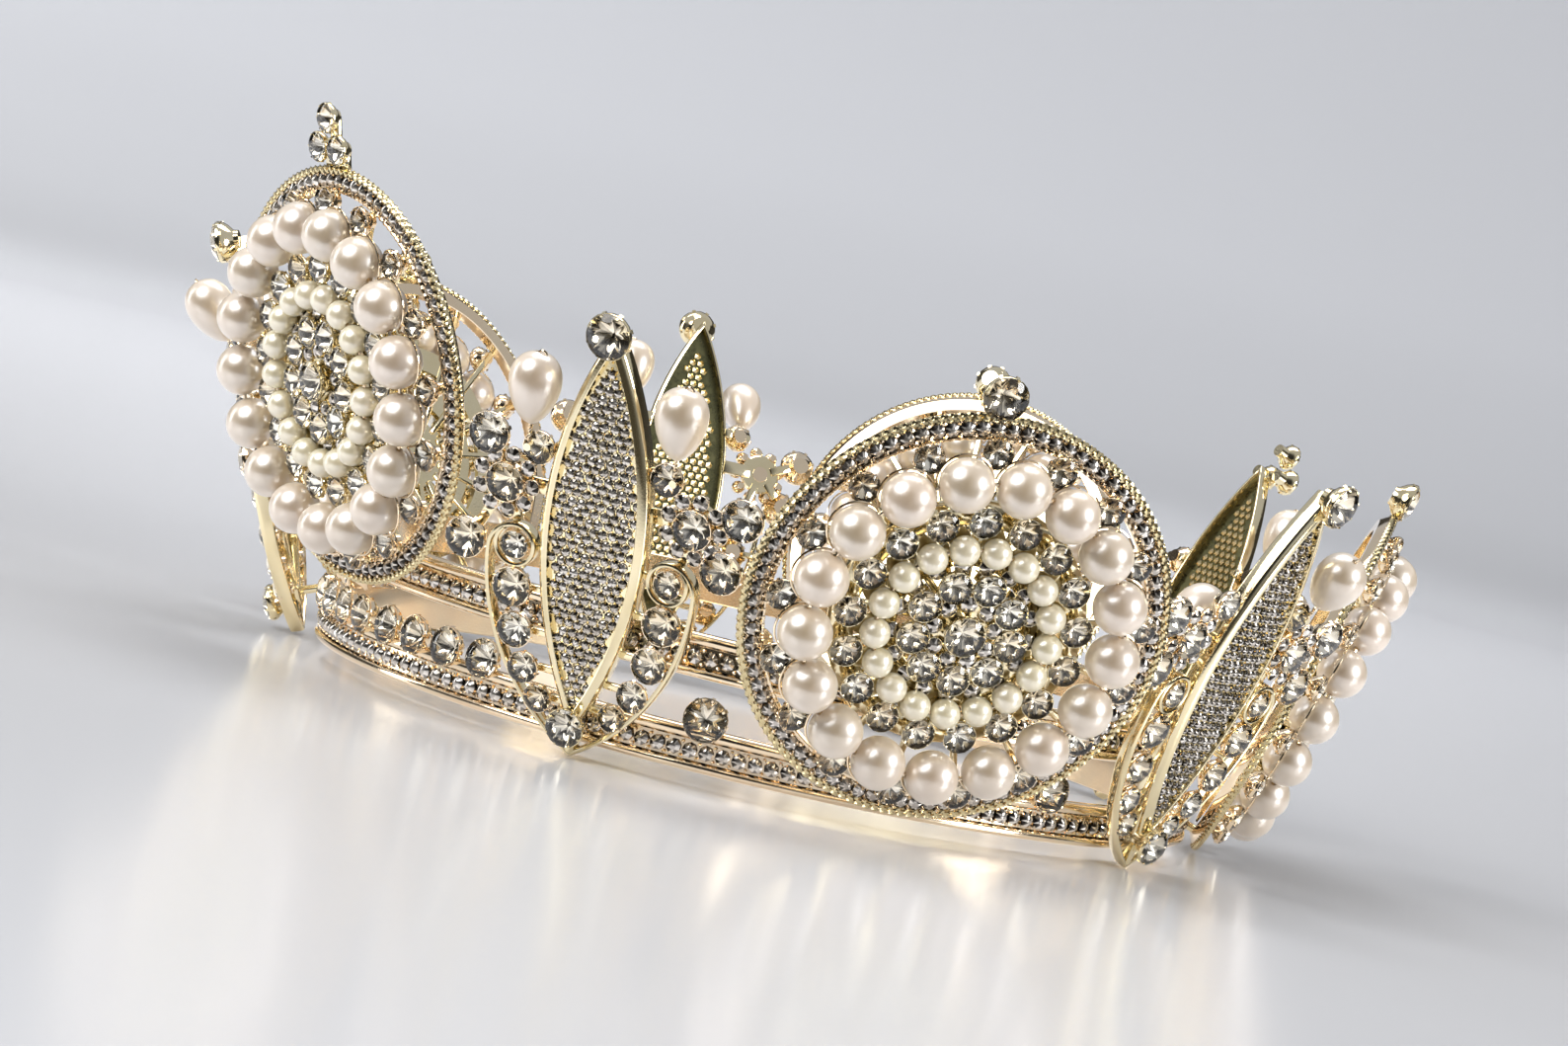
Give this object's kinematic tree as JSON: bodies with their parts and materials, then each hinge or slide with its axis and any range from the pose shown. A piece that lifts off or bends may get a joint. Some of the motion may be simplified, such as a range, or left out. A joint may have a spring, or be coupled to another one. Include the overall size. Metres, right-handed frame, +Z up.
{
  "type": "round crown",
  "caption": "Round bridal crown of champagne-gold metal: two stone-set bands carry round pearl medallions and pointed pave ovals in turn, with scrolls and pear-shaped pearls.",
  "frame": {"origin": "on the crown's axis, at the level of the surface that it rests on", "axes": "+Z up along the crown's axis; -Y towards the front medallion, which stands higher and has three stones on top"},
  "size_m": [0.2007, 0.2094, 0.0858],
  "materials": {
    "gold": "polished pale champagne gold plating",
    "rose_gold": "polished gold plating with a rosy tint",
    "pearl": "pinkish champagne imitation pearl lustre",
    "cream_pearl": "cream imitation pearl lustre",
    "crystal": "clear foil-backed cut crystal"
  },
  "bodies": {
    "root": {"lower_band": "rose_gold", "upper_band": "rose_gold", "medallion_frame_1": "gold", "medallion_frame_2": "gold", "medallion_frame_3": "gold", "medallion_frame_4": "gold", "medallion_frame_5": "gold", "pearl_ring_1": "pearl", "pearl_ring_2": "pearl", "pearl_ring_3": "pearl", "pearl_ring_4": "pearl", "pearl_ring_5": "pearl", "pearl_wire_1": "rose_gold", "pearl_wire_2": "rose_gold", "pearl_wire_3": "rose_gold", "pearl_wire_4": "rose_gold", "pearl_wire_5": "rose_gold", "small_pearl_ring_1": "cream_pearl", "small_pearl_ring_2": "cream_pearl", "small_pearl_ring_3": "cream_pearl", "small_pearl_ring_4": "cream_pearl", "small_pearl_ring_5": "cream_pearl", "small_pearl_wire_1": "rose_gold", "small_pearl_wire_2": "rose_gold", "small_pearl_wire_3": "rose_gold", "small_pearl_wire_4": "rose_gold", "small_pearl_wire_5": "rose_gold", "centre_stone_1": "crystal", "centre_stone_2": "crystal", "centre_stone_3": "crystal", "centre_stone_4": "crystal", "centre_stone_5": "crystal", "finial_1": "crystal", "finial_2": "crystal", "finial_3": "crystal", "finial_4": "crystal", "finial_5": "crystal", "oval_frame_1": "gold", "oval_frame_2": "gold", "oval_frame_3": "gold", "oval_frame_4": "gold", "oval_frame_5": "gold", "oval_stones_1": "crystal", "oval_stones_2": "crystal", "oval_stones_3": "crystal", "oval_stones_4": "crystal", "oval_stones_5": "crystal", "link_stones_1": "crystal", "link_stones_2": "crystal", "link_stones_3": "crystal", "link_stones_4": "crystal", "link_stones_5": "crystal", "pear_pearls_1": "pearl", "pear_pearls_2": "pearl", "pear_pearls_3": "pearl", "pear_pearls_4": "pearl", "pear_pearls_5": "pearl"}
  },
  "joints": []
}
